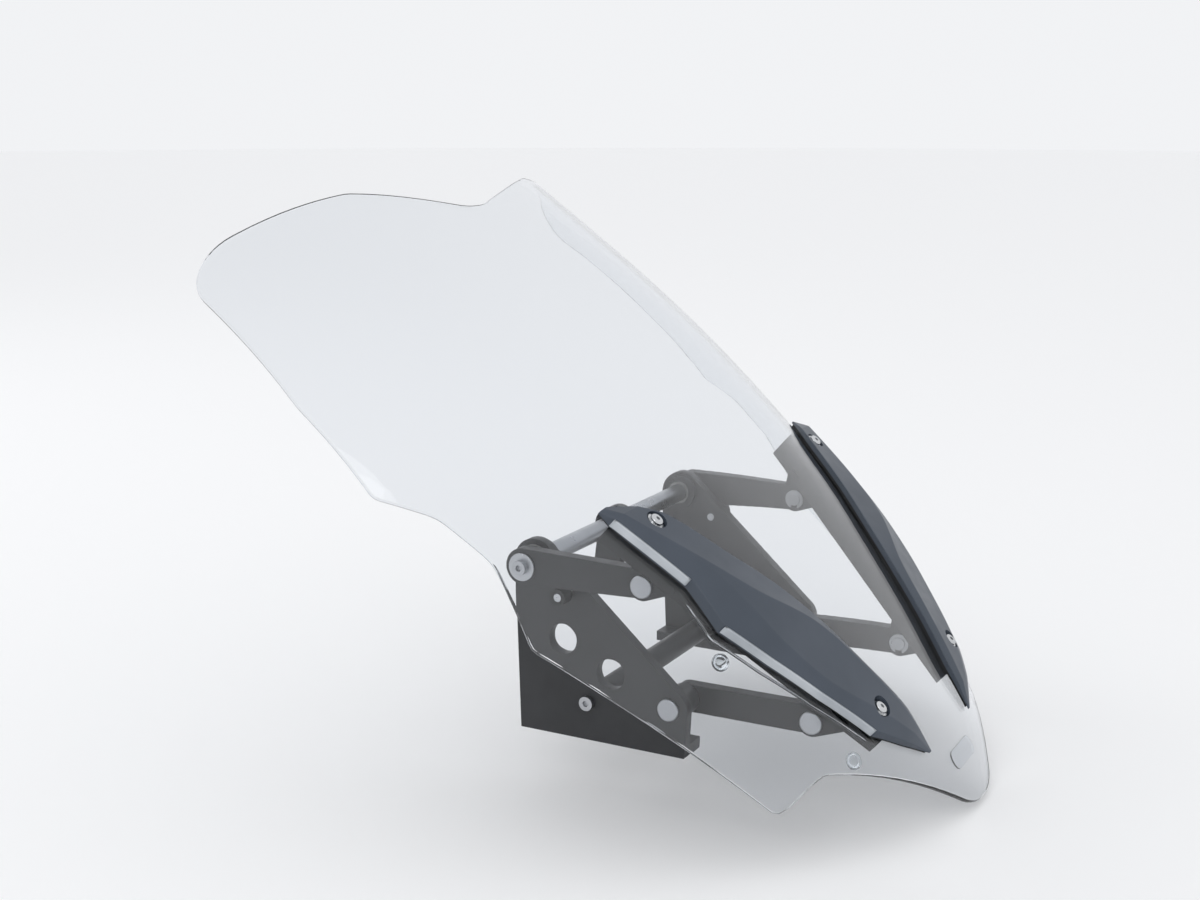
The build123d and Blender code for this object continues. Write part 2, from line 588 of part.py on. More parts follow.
with BuildPart() as shaft_end_washers:
    for face in (-REAR_ARM_OUT - END_WASHER, REAR_ARM_OUT):
        ring(side_plane(face), [REAR_BASE_YZ], EAR_RADIUS, END_WASHER, END_SCREW_RADIUS)
finish(shaft_end_washers, "shaft_end_washers")

# ---------------------------------------------------------------- base brackets
with BuildPart() as base_bracket_left:
    with BuildSketch(side_plane(PLATE_IN)) as plate:
        with Locations(FRONT_BASE_YZ):
            Circle(FRONT_BOSS_RADIUS + BRACKET_MARGIN)
        with Locations(REAR_BASE_YZ):
            Circle(HUB_RADIUS + BRACKET_MARGIN)
        with Locations((0, FOOT_HEIGHT / 2)):
            Rectangle(FOOT_LENGTH, FOOT_HEIGHT)
        make_hull()
        with Locations(*LIGHTENING_HOLES):
            Circle(LIGHTENING_RADIUS, mode=Mode.SUBTRACT)
    extrude(plate.sketch, amount=PLATE_OUT - PLATE_IN)
    with BuildSketch(Plane.XY) as foot:
        with Locations(((FOOT_IN + PLATE_OUT) / 2, 0)):
            Rectangle(PLATE_OUT - FOOT_IN, FOOT_LENGTH)
        with Locations((BOLT_X, BOLT_Y), (BOLT_X, -BOLT_Y)):
            Circle(BOLT_RADIUS, mode=Mode.SUBTRACT)
    extrude(foot.sketch, amount=FOOT_HEIGHT)
    boss_face = FRONT_ARM_OUT + FORK_GAP
    ring(side_plane(boss_face), [FRONT_BASE_YZ], FRONT_BOSS_RADIUS, PLATE_IN - boss_face)
    ring(side_plane(PLATE_IN - BUSH_BOSS), [REAR_BASE_YZ], HUB_RADIUS + 1, BUSH_BOSS)
    ring(side_plane(boss_face), [FRONT_BASE_YZ], PIN_RADIUS, DEEP, mode=Mode.SUBTRACT)
    ring(side_plane(boss_face), [REAR_BASE_YZ], SHAFT_BUSH_RADIUS, DEEP, mode=Mode.SUBTRACT)
    ring(side_plane(PLATE_IN), [(TUBE_Y, TUBE_Z)], END_SCREW_RADIUS, DEEP, mode=Mode.SUBTRACT)
    ring(side_plane(PLATE_IN), [STOP_YZ], STOP_PEG_RADIUS, DEEP, mode=Mode.SUBTRACT)
finish(base_bracket_left, "base_bracket_left")
base_bracket_right = mirrored(base_bracket_left)
finish(base_bracket_right, "base_bracket_right")

with BuildPart() as cross_tube:
    ring(side_plane(-PLATE_IN), [(TUBE_Y, TUBE_Z)], TUBE_RADIUS, 2 * PLATE_IN, END_SCREW_RADIUS)
finish(cross_tube, "cross_tube")

end_fasteners("cross_tube_screws", END_HEAD_RADIUS, PLATE_OUT, (TUBE_Y, TUBE_Z), TUBE_THREAD)

with BuildPart() as shaft_bushes:
    bore = SHAFT_RADIUS + RUNNING_GAP
    length = PLATE_OUT - PLATE_IN + BUSH_BOSS
    ring(side_plane(PLATE_IN - BUSH_BOSS), [REAR_BASE_YZ], SHAFT_BUSH_RADIUS, length, bore)
    ring(side_plane(PLATE_OUT), [REAR_BASE_YZ], BUSH_FLANGE_RADIUS, BUSH_FLANGE, bore)
    mirror(about=Plane.YZ)
finish(shaft_bushes, "shaft_bushes")

with BuildPart() as stop_pegs:
    ring(side_plane(PLATE_IN), [STOP_YZ], STOP_PEG_RADIUS, REAR_ARM_OUT - PLATE_IN)
    mirror(about=Plane.YZ)
finish(stop_pegs, "stop_pegs")

with BuildPart() as stop_buffers:
    ring(side_plane(REAR_ARM_IN - 1), [STOP_YZ], STOP_RADIUS, ARM_THICKNESS + 1, STOP_PEG_RADIUS)
    mirror(about=Plane.YZ)
finish(stop_buffers, "stop_buffers")


# ---------------------------------------------------------------- hinge pins and clips
def hinge_pins(label, point, head_face, tail_face):
    """Headed pins from both sides, head outermost, with a groove for the clip at the tail."""
    with BuildPart() as pins:
        ring(side_plane(tail_face - PIN_TAIL), [point], PIN_RADIUS, head_face - tail_face + PIN_TAIL)
        ring(side_plane(head_face), [point], PIN_HEAD_RADIUS, PIN_HEAD)
        ring(
            side_plane(tail_face - CLIP_THICKNESS), [point],
            PIN_RADIUS + 1, CLIP_THICKNESS, GROOVE_RADIUS, mode=Mode.SUBTRACT,
        )
        chamfer(pins.faces().sort_by(Axis.X)[-1].edges(), PIN_CHAMFER)
        mirror(about=Plane.YZ)
    finish(pins, label)


def pin_clips(label, places):
    """Open retaining clips in the grooves of the pins at (point, tail face)."""
    with BuildPart() as clips:
        for point, tail_face in places:
            with BuildSketch(side_plane(tail_face - CLIP_THICKNESS)) as clip:
                with Locations(point):
                    Circle(CLIP_RADIUS)
                    Circle(GROOVE_RADIUS, mode=Mode.SUBTRACT)
                    mouth = (Align.CENTER, Align.MAX)
                    Rectangle(CLIP_MOUTH, CLIP_RADIUS + 1, align=mouth, mode=Mode.SUBTRACT)
            extrude(clip.sketch, amount=CLIP_THICKNESS)
        mirror(about=Plane.YZ)
    finish(clips, label)


half_fork = ARM_THICKNESS / 2 + FORK_GAP + EAR_THICKNESS
hinge_pins("rear_hinge_pins", REAR_SCREEN_YZ, REAR_ARM_X + half_fork, REAR_ARM_X - half_fork)
hinge_pins("front_hinge_pins", FRONT_SCREEN_YZ, FRONT_ARM_X + half_fork, FRONT_ARM_X - half_fork)
hinge_pins("guide_pins", FRONT_BASE_YZ, PLATE_OUT, FRONT_ARM_IN - FORK_GAP)
pin_clips(
    "carrier_pin_clips",
    ((REAR_SCREEN_YZ, REAR_ARM_X - half_fork), (FRONT_SCREEN_YZ, FRONT_ARM_X - half_fork)),
)
pin_clips("guide_pin_clips", ((FRONT_BASE_YZ, FRONT_ARM_IN - FORK_GAP),))
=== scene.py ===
import json
from math import cos, pi, sin, tan, tau

import bmesh
import bpy
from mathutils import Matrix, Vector


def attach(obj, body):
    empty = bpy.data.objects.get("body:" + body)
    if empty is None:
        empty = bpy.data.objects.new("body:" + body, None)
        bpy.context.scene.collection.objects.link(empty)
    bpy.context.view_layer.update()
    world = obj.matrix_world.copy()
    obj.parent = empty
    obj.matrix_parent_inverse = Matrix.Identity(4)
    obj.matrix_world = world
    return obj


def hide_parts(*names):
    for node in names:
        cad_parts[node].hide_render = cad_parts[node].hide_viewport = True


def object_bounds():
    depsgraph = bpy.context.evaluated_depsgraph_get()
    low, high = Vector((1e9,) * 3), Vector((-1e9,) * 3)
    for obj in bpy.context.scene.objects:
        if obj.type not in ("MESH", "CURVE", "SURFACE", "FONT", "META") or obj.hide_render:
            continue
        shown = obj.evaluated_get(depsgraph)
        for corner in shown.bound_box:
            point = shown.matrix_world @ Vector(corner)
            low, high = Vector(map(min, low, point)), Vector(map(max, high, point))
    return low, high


# Looks of the touring windshield: clear screen, faceted trim covers and the lift behind it.
# World: metres, in the part's frame, +Z up, -Y to the front wheel, +X to the rider's left.
# Sheet coordinates: millimetres, x across, s up the slope, height square to the screen plane.
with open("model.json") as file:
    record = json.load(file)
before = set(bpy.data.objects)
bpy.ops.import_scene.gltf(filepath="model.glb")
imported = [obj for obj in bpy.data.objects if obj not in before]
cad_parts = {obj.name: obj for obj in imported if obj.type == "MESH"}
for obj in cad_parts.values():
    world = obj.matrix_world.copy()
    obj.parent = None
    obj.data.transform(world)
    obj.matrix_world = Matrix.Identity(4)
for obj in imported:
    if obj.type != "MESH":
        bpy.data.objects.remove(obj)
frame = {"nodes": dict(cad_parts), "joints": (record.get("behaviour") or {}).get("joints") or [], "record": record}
CAD_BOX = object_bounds()

# ---------------------------------------------------------------- sizes, in millimetres
MM = 0.001
SHEET_THICKNESS = 4.0
EDGE_ROUND = 1.3  # radius of the polished edges of the sheet
RIM_STEPS = 4  # mesh steps round each of them
SHEET_LENGTH = 600.0
CENTRE_RISE = (-28.0, 10.0, 8.0, -2.0)
ROUND_DROP = (34.0, 4.0, 12.0)
WING_DROP = (114.0, 40.0, 25.0)
HALF_WIDTH = 200.0
OUTLINE = (
    (20, -6, 50),
    (138, 81, 12),
    (168, 81, 8),
    (232, 262, 20),
    (230, 320, 60),
    (240, 364, 60),
    (258, 400, 18),
    (259, 480, 160),
    (247, 616, 34),
    (124, 606, 40),
    (12, 573, 70),
)
SHEET_GRID = 10.0  # spacing of the sheet's mesh lines
GRID_SHIFT, GRID_SNAP = 0.013, 0.05  # keep mesh lines off the outline's own points
ARC_STEP = 4.0  # spacing of points round the corners of an outline

# trim cover: distance up the slope, then (x, height) of its inner edge, crest, shoulder and
# outer edge
TRIM_STATIONS = (
    (43, (45.5, 2.6), (46.5, 3.0), (47.5, 3.0), (48.5, 2.8)),
    (60, (48.0, 5.0), (53.0, 7.5), (62.0, 8.2), (72.9, 6.5)),
    (78, (50.0, 6.0), (56.5, 8.8), (78.0, 10.0), (94.9, 8.0)),
    (120, (64.5, 6.0), (71.0, 9.2), (110.0, 10.8), (119.0, 9.0)),
    (158, (77.0, 6.0), (88.0, 10.0), (127.0, 13.4), (137.8, 10.0)),
    (194, (92.0, 6.0), (119.5, 14.0), (135.0, 14.6), (152.7, 10.0)),
    (228, (110.0, 6.0), (138.0, 14.0), (142.0, 13.9), (153.1, 10.0)),
    (275, (133.0, 6.0), (159.5, 12.5), (161.0, 12.4), (166.3, 10.0)),
    (290, (147.0, 5.5), (165.8, 12.0), (167.0, 11.5), (169.9, 9.5)),
    (302, (164.0, 3.4), (167.0, 4.0), (168.5, 4.0), (170.5, 3.6)),
)
TRIM_ROW = 3.0  # spacing of the cover's mesh rows up the slope
TRIM_ROUND = 0.9  # rounding of every edge of the cover's section
ROUND_SHARE = 0.4  # most that a rounding takes of the facet beside it
GASKET_THICKNESS, GASKET_INSET = 2.0, 1.2
STRIP_WIDTH, STRIP_PROUD, STRIP_DROP, STRIP_ROUND = 5.8, 1.0, 0.2, 0.35
STRIPS = (("upper", 230.0, 291.0), ("lower", 79.0, 193.0))
BEAD_FROM, BEAD_TO, BEAD_GAP, BEAD_RADIUS = 79.0, 220.0, 4.5, 0.8

# screen fixings: x, distance up the slope, height of the washer seat above the sheet
FIXINGS = ((80.0, 88.0, 5.8), (145.0, 275.0, 5.5))
COUNTERBORE_RADIUS, COUNTERBORE_CUT = 7.4, 30.0
COUNTERBORE_SIDES, ROUND_SIDES, BEAD_SIDES = 48, 32, 8
BUMPERS = ((158, 178), (114, 74))
BUMPER_RADIUS, BUMPER_FLANGE, BUMPER_DOME, BUMPER_STEP, BUMPER_ROWS = 6.0, 1.2, 5.0, 1.0, 7
BADGE = (26.0, 44.0, 13.0, 6.0, 0.8)  # distance up the slope, width, depth, corner, height
BADGE_GAP = 0.05  # film of air between pad and sheet
BADGE_RIM = ((0.0, 0.6), (0.1, 0.85), (0.35, 1.0))  # inset, and share of the height
BADGE_ARC_STEP, BADGE_ARC_LEAST = 1.0, 6
SHARP_ANGLE = 0.25  # edges of the cover that turn by more are shaded sharp
SOFT_SLOTS = ("arm_black", "carrier_black", "shaft_steel")
SOFT_EDGE, SOFT_ANGLE = 0.4, 0.6  # bevel of the lift's metal and moulded pieces
WELD_GAP, FLAT_ANGLE = 0.000001, 0.01

# screen plane, from the lift's joints
PIVOT_UP_SLOPE, PIVOT_DEPTH = 112.0, 38.0

# camera, lights and floor, in metres from the screen plane's origin or the model's box
CAMERA_OFFSET = Vector((-1.1012, -0.265, 0.46))
CAMERA_LOOK = Vector((0.8621, 0.4612, -0.21))
LENS, SENSOR = 50.0, 36.0
FLOOR_GAP, FLOOR_RADIUS, FLOOR_SIDES = 0.002, 14.0, 96
FLOOR_GREY = 0.97
WORLD_COLOUR, WORLD_STRENGTH = (0.95, 0.96, 0.98), 0.93
LIGHTS = (  # name, place from the middle of the model, size, watts
    ("key", (-2.4, -0.5, 1.5), 1.4, 7.0),
    ("rim", (-0.2, 2.6, 1.5), 1.2, 6.0),
)
NOISE_LOW, NOISE_HIGH = 0.3, 0.7  # part of a noise output that the finishes use


# ---------------------------------------------------------------- screen surface
def joint_place(name):
    return next(Vector(j["pos_m"]) for j in frame["joints"] if j["name"] == name)


REAR_BASE, REAR_SCREEN = joint_place("lift"), joint_place("screen_pivot")
FRONT_BASE = joint_place("guide_left")
FRONT_BASE.x = 0.0
UP_SLOPE = (REAR_BASE - FRONT_BASE).normalized()
OUTWARD = Vector((1, 0, 0)).cross(UP_SLOPE)
FRONT_SCREEN = FRONT_BASE + REAR_SCREEN - REAR_BASE
SCREEN_ORIGIN = FRONT_SCREEN - UP_SLOPE * PIVOT_UP_SLOPE * MM + OUTWARD * PIVOT_DEPTH * MM


def through(values, t):
    """Polynomial through values at equal steps of t from 0 to 1."""
    last = len(values) - 1
    total = 0.0
    for i, value in enumerate(values):
        for j in range(last + 1):
            if j != i:
                value *= (t * last - j) / (i - j)
        total += value
    return total


def sheet_height(x, s):
    """Outer face of the sheet above the screen plane."""
    t = s / SHEET_LENGTH
    u = (x / HALF_WIDTH) ** 2
    return through(CENTRE_RISE, t) - through(ROUND_DROP, t) * u - through(WING_DROP, t) * u * u


def place(x, s, height):
    """World point of sheet coordinates."""
    return SCREEN_ORIGIN + (Vector((x, 0, 0)) + UP_SLOPE * s + OUTWARD * height) * MM


def sheet_normal(x, s):
    """Unit normal of the outer face, as sheet coordinates."""
    step = 0.5
    slope_x = (sheet_height(x + step, s) - sheet_height(x - step, s)) / (2 * step)
    slope_s = (sheet_height(x, s + step) - sheet_height(x, s - step)) / (2 * step)
    return Vector((-slope_x, -slope_s, 1)).normalized()


def on_sheet(x, s, lift):
    """World point at lift from the outer face, measured along its normal."""
    n = sheet_normal(x, s)
    return place(x + n.x * lift, s + n.y * lift, sheet_height(x, s) + n.z * lift)


# ---------------------------------------------------------------- mesh helpers
def mirrored_outline(half):
    return [*half, *((-x, s, r) for x, s, r in reversed(half))]


def rounded(corners, step=ARC_STEP, least=2):
    """Closed outline through (x, y, radius) corners, as points with the corners as arcs."""
    points = []
    for i, (x, y, radius) in enumerate(corners):
        corner = Vector((x, y))
        before = Vector(corners[i - 1][:2]) - corner
        after = Vector(corners[(i + 1) % len(corners)][:2]) - corner
        half_angle = before.angle(after) / 2
        reach = radius / tan(half_angle)
        start, end = corner + before.normalized() * reach, corner + after.normalized() * reach
        turn = pi - 2 * half_angle
        steps = max(least, round(radius * turn / step))
        centre_way = (before.normalized() + after.normalized()).normalized()
        centre = corner + centre_way * (radius / sin(half_angle))
        first, last = start - centre, end - centre
        for k in range(steps + 1):
            share = k / steps
            way = (first * sin((1 - share) * turn) + last * sin(share * turn)) / sin(turn)
            points.append(centre + way)
    return points


def make_piece(name, bm, material, body, replaces=(), smooth=True):
    """Mesh object from bm, riding on body and standing for the CAD nodes it replaces."""
    bmesh.ops.recalc_face_normals(bm, faces=bm.faces)
    mesh = bpy.data.meshes.new(name)
    bm.to_mesh(mesh)
    bm.free()
    piece = bpy.data.objects.new(name, mesh)
    bpy.context.scene.collection.objects.link(piece)
    mesh.materials.append(material)
    if smooth:
        mesh.shade_smooth()
        piece.modifiers.new("facets", "WEIGHTED_NORMAL").keep_sharp = True
    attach(piece, body)
    if replaces:
        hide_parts(*replaces)
    return piece


def bridge_rows(bm, rows, closed=True):
    """Quads between successive rows of vertices, each row a loop if closed."""
    for low, high in zip(rows, rows[1:]):
        count = len(low)
        for k in range(count if closed else count - 1):
            nxt = (k + 1) % count
            bm.faces.new((low[k], low[nxt], high[nxt], high[k]))


def swept(profiles):
    """Closed solid through rows of world points, with its two ends capped."""
    bm = bmesh.new()
    rows = [[bm.verts.new(p) for p in profile] for profile in profiles]
    bridge_rows(bm, rows)
    bm.faces.new(rows[0])
    bm.faces.new(reversed(rows[-1]))
    return bm


# ---------------------------------------------------------------- clear sheet
def cut_grid(bm, span_x, span_s, step):
    """Cuts the flat face of bm along lines a step apart both ways."""
    for normal, (low, high) in (((1, 0, 0), span_x), ((0, 1, 0), span_s)):
        for k in range(int(low // step) + 1, int(high // step) + 1):
            where = Vector(normal) * (k * step + GRID_SHIFT)
            geometry = [*bm.verts, *bm.edges, *bm.faces]
            bmesh.ops.bisect_plane(
                bm, geom=geometry, plane_co=where, plane_no=normal, dist=GRID_SNAP
            )


def flat_sheet(outline):
    """Flat face of the outline, cut by the grid lines."""
    bm = bmesh.new()
    bm.faces.new([bm.verts.new((p.x, p.y, 0)) for p in outline])
    xs, ss = [p.x for p in outline], [p.y for p in outline]
    cut_grid(bm, (min(xs), max(xs)), (min(ss), max(ss)), SHEET_GRID)
    return bm


def outward_ways(outline):
    """Outward direction at each point of a closed outline that runs anticlockwise."""
    ways = []
    for i, point in enumerate(outline):
        along = (outline[(i + 1) % len(outline)] - outline[i - 1]).normalized()
        ways.append(Vector((along.y, -along.x)))
    return ways


def way_at(point, outline, ways):
    """Outward direction at a point that lies on the outline."""
    best = None
    for i, start in enumerate(outline):
        nxt = (i + 1) % len(outline)
        edge = outline[nxt] - start
        share = min(1.0, max(0.0, (point - start).dot(edge) / edge.length_squared))
        gap = (start + edge * share - point).length
        if best is None or gap < best[0]:
            best = (gap, ways[i].lerp(ways[nxt], share).normalized())
    return best[1]


def rim_profile():
    """Rounded edge from the outer face to the inner one: (distance outward, lift) in steps."""
    turns = [pi / 2 * k / RIM_STEPS for k in range(1, RIM_STEPS + 1)]
    top = [(EDGE_ROUND * sin(a), EDGE_ROUND * (cos(a) - 1)) for a in turns]
    return top + [(out, -SHEET_THICKNESS - lift) for out, lift in reversed(top)]


def build_sheet():
    """Crowned sheet with rounded, polished edges."""
    edge = rounded(mirrored_outline(OUTLINE))
    ways = outward_ways(edge)
    inner = [point - way * EDGE_ROUND for point, way in zip(edge, ways)]
    flat = flat_sheet(inner)
    bm = bmesh.new()
    front = {v: bm.verts.new(on_sheet(v.co.x, v.co.y, 0.0)) for v in flat.verts}
    back = {v: bm.verts.new(on_sheet(v.co.x, v.co.y, -SHEET_THICKNESS)) for v in flat.verts}
    for face in flat.faces:
        bm.faces.new([front[v] for v in face.verts])
        bm.faces.new([back[v] for v in reversed(face.verts)])
    rims = {}
    for vert in {v for e in flat.edges if e.is_boundary for v in e.verts}:
        way = way_at(vert.co.xy, inner, ways)
        column = [
            bm.verts.new(on_sheet(vert.co.x + way.x * out, vert.co.y + way.y * out, lift))
            for out, lift in rim_profile()
        ]
        rims[vert] = [front[vert], *column, back[vert]]
    for side in [e for e in flat.edges if e.is_boundary]:
        bridge_rows(bm, [rims[v] for v in side.verts], closed=False)
    flat.free()
    return bm


# ---------------------------------------------------------------- materials
def new_material(name):
    material = bpy.data.materials.new(name)
    material.use_nodes = True
    tree = material.node_tree
    return material, tree, tree.nodes["Principled BSDF"]


def noise(tree, scale, detail=3.0, roughness=0.5):
    """Noise in object space, scale in cycles to the metre."""
    coords = tree.nodes.new("ShaderNodeTexCoord")
    node = tree.nodes.new("ShaderNodeTexNoise")
    node.inputs["Scale"].default_value = scale
    node.inputs["Detail"].default_value = detail
    node.inputs["Roughness"].default_value = roughness
    tree.links.new(coords.outputs["Object"], node.inputs["Vector"])
    return node.outputs["Fac"]


def spread(tree, source, low, high):
    """Maps a noise output onto the range from low to high."""
    node = tree.nodes.new("ShaderNodeMapRange")
    node.inputs["From Min"].default_value = NOISE_LOW
    node.inputs["From Max"].default_value = NOISE_HIGH
    node.inputs["To Min"].default_value = low
    node.inputs["To Max"].default_value = high
    tree.links.new(source, node.inputs["Value"])
    return node.outputs["Result"]


def tint(tree, source, dark, light):
    """Colour between dark and light by a noise output."""
    ramp = tree.nodes.new("ShaderNodeValToRGB")
    ramp.color_ramp.elements[0].position = NOISE_LOW
    ramp.color_ramp.elements[1].position = NOISE_HIGH
    ramp.color_ramp.elements[0].color = (*dark, 1)
    ramp.color_ramp.elements[1].color = (*light, 1)
    tree.links.new(source, ramp.inputs["Fac"])
    return ramp.outputs["Color"]


def bump(tree, shader, source, depth, strength=1.0):
    """Bump of depth metres from a noise output."""
    node = tree.nodes.new("ShaderNodeBump")
    node.inputs["Distance"].default_value = depth
    node.inputs["Strength"].default_value = strength
    tree.links.new(source, node.inputs["Height"])
    tree.links.new(node.outputs["Normal"], shader.inputs["Normal"])


def clear_material(name, colour, rough, ior=1.49):
    material, tree, shader = new_material(name)
    shader.inputs["Base Color"].default_value = (*colour, 1)
    shader.inputs["Transmission Weight"].default_value = 1.0
    shader.inputs["IOR"].default_value = ior
    tree.links.new(spread(tree, noise(tree, 18.0), *rough), shader.inputs["Roughness"])
    return material


def solid_material(name, dark, light, rough, metallic=0.0, grain=900.0, depth=0.00002, patches=25.0):
    """Opaque finish: slow colour variation, mottled roughness and a fine grain."""
    material, tree, shader = new_material(name)
    shader.inputs["Metallic"].default_value = metallic
    tree.links.new(tint(tree, noise(tree, patches), dark, light), shader.inputs["Base Color"])
    tree.links.new(spread(tree, noise(tree, patches * 3), *rough), shader.inputs["Roughness"])
    bump(tree, shader, noise(tree, grain, 2.0), depth)
    return material


MATERIALS = {
    "clear_sheet": clear_material("clear_acrylic", (0.87, 0.888, 0.91), (0.0, 0.02)),
    "clear_rubber": clear_material("clear_elastomer", (0.86, 0.89, 0.91), (0.08, 0.16), 1.42),
    "trim_plastic": solid_material(
        "trim_satin", (0.046, 0.059, 0.079), (0.056, 0.07, 0.093), (0.34, 0.42)
    ),
    "silver_strip": solid_material(
        "strip_silver", (0.42, 0.45, 0.48), (0.6, 0.63, 0.66), (0.28, 0.42), 0.9, 2500.0, 0.00003
    ),
    "black_rubber": solid_material(
        "rubber_black", (0.008, 0.008, 0.009), (0.014, 0.014, 0.015), (0.6, 0.75)
    ),
    "stainless": solid_material(
        "stainless_steel", (0.55, 0.56, 0.57), (0.66, 0.67, 0.68), (0.18, 0.3), 1.0
    ),
    "sleeve_aluminium": solid_material(
        "aluminium_turned", (0.6, 0.61, 0.63), (0.7, 0.71, 0.72), (0.3, 0.4), 1.0
    ),
    "insert_brass": solid_material(
        "brass_insert", (0.55, 0.38, 0.16), (0.66, 0.47, 0.2), (0.25, 0.35), 1.0
    ),
    "carrier_black": solid_material(
        "carrier_nylon", (0.012, 0.013, 0.015), (0.02, 0.021, 0.024), (0.45, 0.6)
    ),
    "arm_black": solid_material(
        "powder_coat", (0.014, 0.015, 0.017), (0.024, 0.025, 0.028), (0.35, 0.5), 0.0, 2200.0, 0.00001
    ),
    "shaft_steel": solid_material(
        "zinc_steel", (0.4, 0.41, 0.43), (0.52, 0.53, 0.55), (0.25, 0.4), 1.0
    ),
    "bush_polymer": solid_material(
        "bush_grey", (0.2, 0.2, 0.19), (0.27, 0.27, 0.26), (0.4, 0.5)
    ),
}

for part in frame["record"]["subparts"]:
    slots = frame["nodes"][part["node"]].data.materials
    slots.clear()
    slots.append(MATERIALS[part["material_slot"]])

# ---------------------------------------------------------------- softened edges of the lift
def soften_edges(node):
    """Bevels a piece of the lift, once its mesh is welded and its flats are single faces."""
    weld = node.modifiers.new("weld", "WELD")
    weld.merge_threshold = WELD_GAP
    flat = node.modifiers.new("flat", "DECIMATE")
    flat.decimate_type, flat.angle_limit = "DISSOLVE", FLAT_ANGLE
    edge = node.modifiers.new("edge", "BEVEL")
    edge.width, edge.segments = SOFT_EDGE * MM, 2
    edge.limit_method, edge.angle_limit = "ANGLE", SOFT_ANGLE


for part in frame["record"]["subparts"]:
    if part["material_slot"] in SOFT_SLOTS:
        soften_edges(frame["nodes"][part["node"]])

# ---------------------------------------------------------------- pieces
make_piece(
    "clear_screen", build_sheet(), MATERIALS["clear_sheet"], "screen",
    ["windshield_sheet"]
)


# ---------------------------------------------------------------- trim covers and their parts
def trim_at(s):
    """Points (x, height) of the cover's section at s: smooth, but straight along its outer
    edge and in its end spans."""
    for i, (low, high) in enumerate(zip(TRIM_STATIONS, TRIM_STATIONS[1:])):
        if s <= high[0]:
            break
    share = (s - low[0]) / (high[0] - low[0])
    before = TRIM_STATIONS[i - 1] if i > 1 else low
    after = TRIM_STATIONS[i + 2] if i < len(TRIM_STATIONS) - 3 else high
    ends = i in (0, len(TRIM_STATIONS) - 2)
    span = high[0] - low[0]
    points = []
    for a, b, c, d in zip(before[1:], low[1:], high[1:], after[1:]):
        a, b, c, d = Vector(a), Vector(b), Vector(c), Vector(d)
        if ends or len(points) == 3:
            points.append(b.lerp(c, share))
            continue
        out = (c - a) / (high[0] - before[0]) * span
        into = (d - b) / (after[0] - low[0]) * span
        k2, k3 = share * share, share**3
        points.append(b * (2 * k3 - 3 * k2 + 1) + out * (k3 - 2 * k2 + share)
                      + c * (3 * k2 - 2 * k3) + into * (k3 - k2))
    return points


def softened(points, radius, steps=4):
    """Open profile with each inner corner turned into a small arc."""
    line = [points[0]]
    for before, corner, after in zip(points, points[1:], points[2:]):
        one, two = before - corner, after - corner
        reach = min(radius, one.length * ROUND_SHARE, two.length * ROUND_SHARE)
        start, end = corner + one.normalized() * reach, corner + two.normalized() * reach
        for k in range(steps + 1):
            share = k / steps
            line.append(start.lerp(corner, share).lerp(corner.lerp(end, share), share))
    return [*line, points[-1]]


def rows_between(low, high, step):
    count = max(1, round((high - low) / step))
    return [low + (high - low) * k / count for k in range(count + 1)]


def side_points(side, section, s):
    """World points of a section given as (x, height above the sheet)."""
    return [place(side * x, s, sheet_height(x, s) + height) for x, height in section]


def trim_section(s):
    lip, crest, shoulder, edge = trim_at(s)
    foot_in = Vector((lip.x, GASKET_THICKNESS))
    foot_out = Vector((edge.x, GASKET_THICKNESS))
    return softened([foot_in, lip, crest, shoulder, edge, foot_out], TRIM_ROUND)


def build_trim(side):
    """Faceted cover, from the top of its gasket to its crest."""
    stations = [station[0] for station in TRIM_STATIONS]
    rows = []
    for low, high in zip(stations, stations[1:]):
        rows += rows_between(low, high, TRIM_ROW)[:-1]
    rows.append(stations[-1])
    return swept([side_points(side, trim_section(s), s) for s in rows])


def strip_section(s):
    """Band on the outer wall, its rim rounded."""
    edge = trim_at(s)[-1]
    top, low = edge.y - STRIP_DROP, edge.y - STRIP_DROP - STRIP_WIDTH
    wall, face = edge.x - STRIP_PROUD, edge.x + STRIP_PROUD
    corners = [(wall, top), (face, top), (face, low), (wall, low)]
    return softened([Vector(corner) for corner in corners], STRIP_ROUND)


def build_strip(side, low, high):
    rows = rows_between(low, high, TRIM_ROW)
    return swept([side_points(side, strip_section(s), s) for s in rows])


def build_gasket(side):
    """Flat gasket between a cover and the sheet, drawn in from the cover's outline."""
    first, last = TRIM_STATIONS[0][0] + 2 * GASKET_INSET, TRIM_STATIONS[-1][0] - 2 * GASKET_INSET
    rows = rows_between(first, last, TRIM_ROW)
    profiles = []
    for s in rows:
        section = trim_at(s)
        inner, outer = section[0].x + GASKET_INSET, section[-1].x - GASKET_INSET
        corners = [(inner, 0.0), (inner, GASKET_THICKNESS), (outer, GASKET_THICKNESS), (outer, 0.0)]
        profiles.append(side_points(side, [Vector(corner) for corner in corners], s))
    return swept(profiles)


def build_beads():
    """Thin clear bead on the sheet beside each cover."""
    bm = bmesh.new()
    for side in (-1, 1):
        rows = []
        for s in rows_between(BEAD_FROM, BEAD_TO, TRIM_ROW):
            x = trim_at(s)[-1].x + BEAD_GAP
            turns = [tau * k / BEAD_SIDES for k in range(BEAD_SIDES)]
            ring = [(x + BEAD_RADIUS * cos(a), BEAD_RADIUS * sin(a)) for a in turns]
            rows.append([bm.verts.new(p) for p in side_points(side, ring, s)])
        bridge_rows(bm, rows)
        bm.faces.new(rows[0])
        bm.faces.new(reversed(rows[-1]))
    return bm


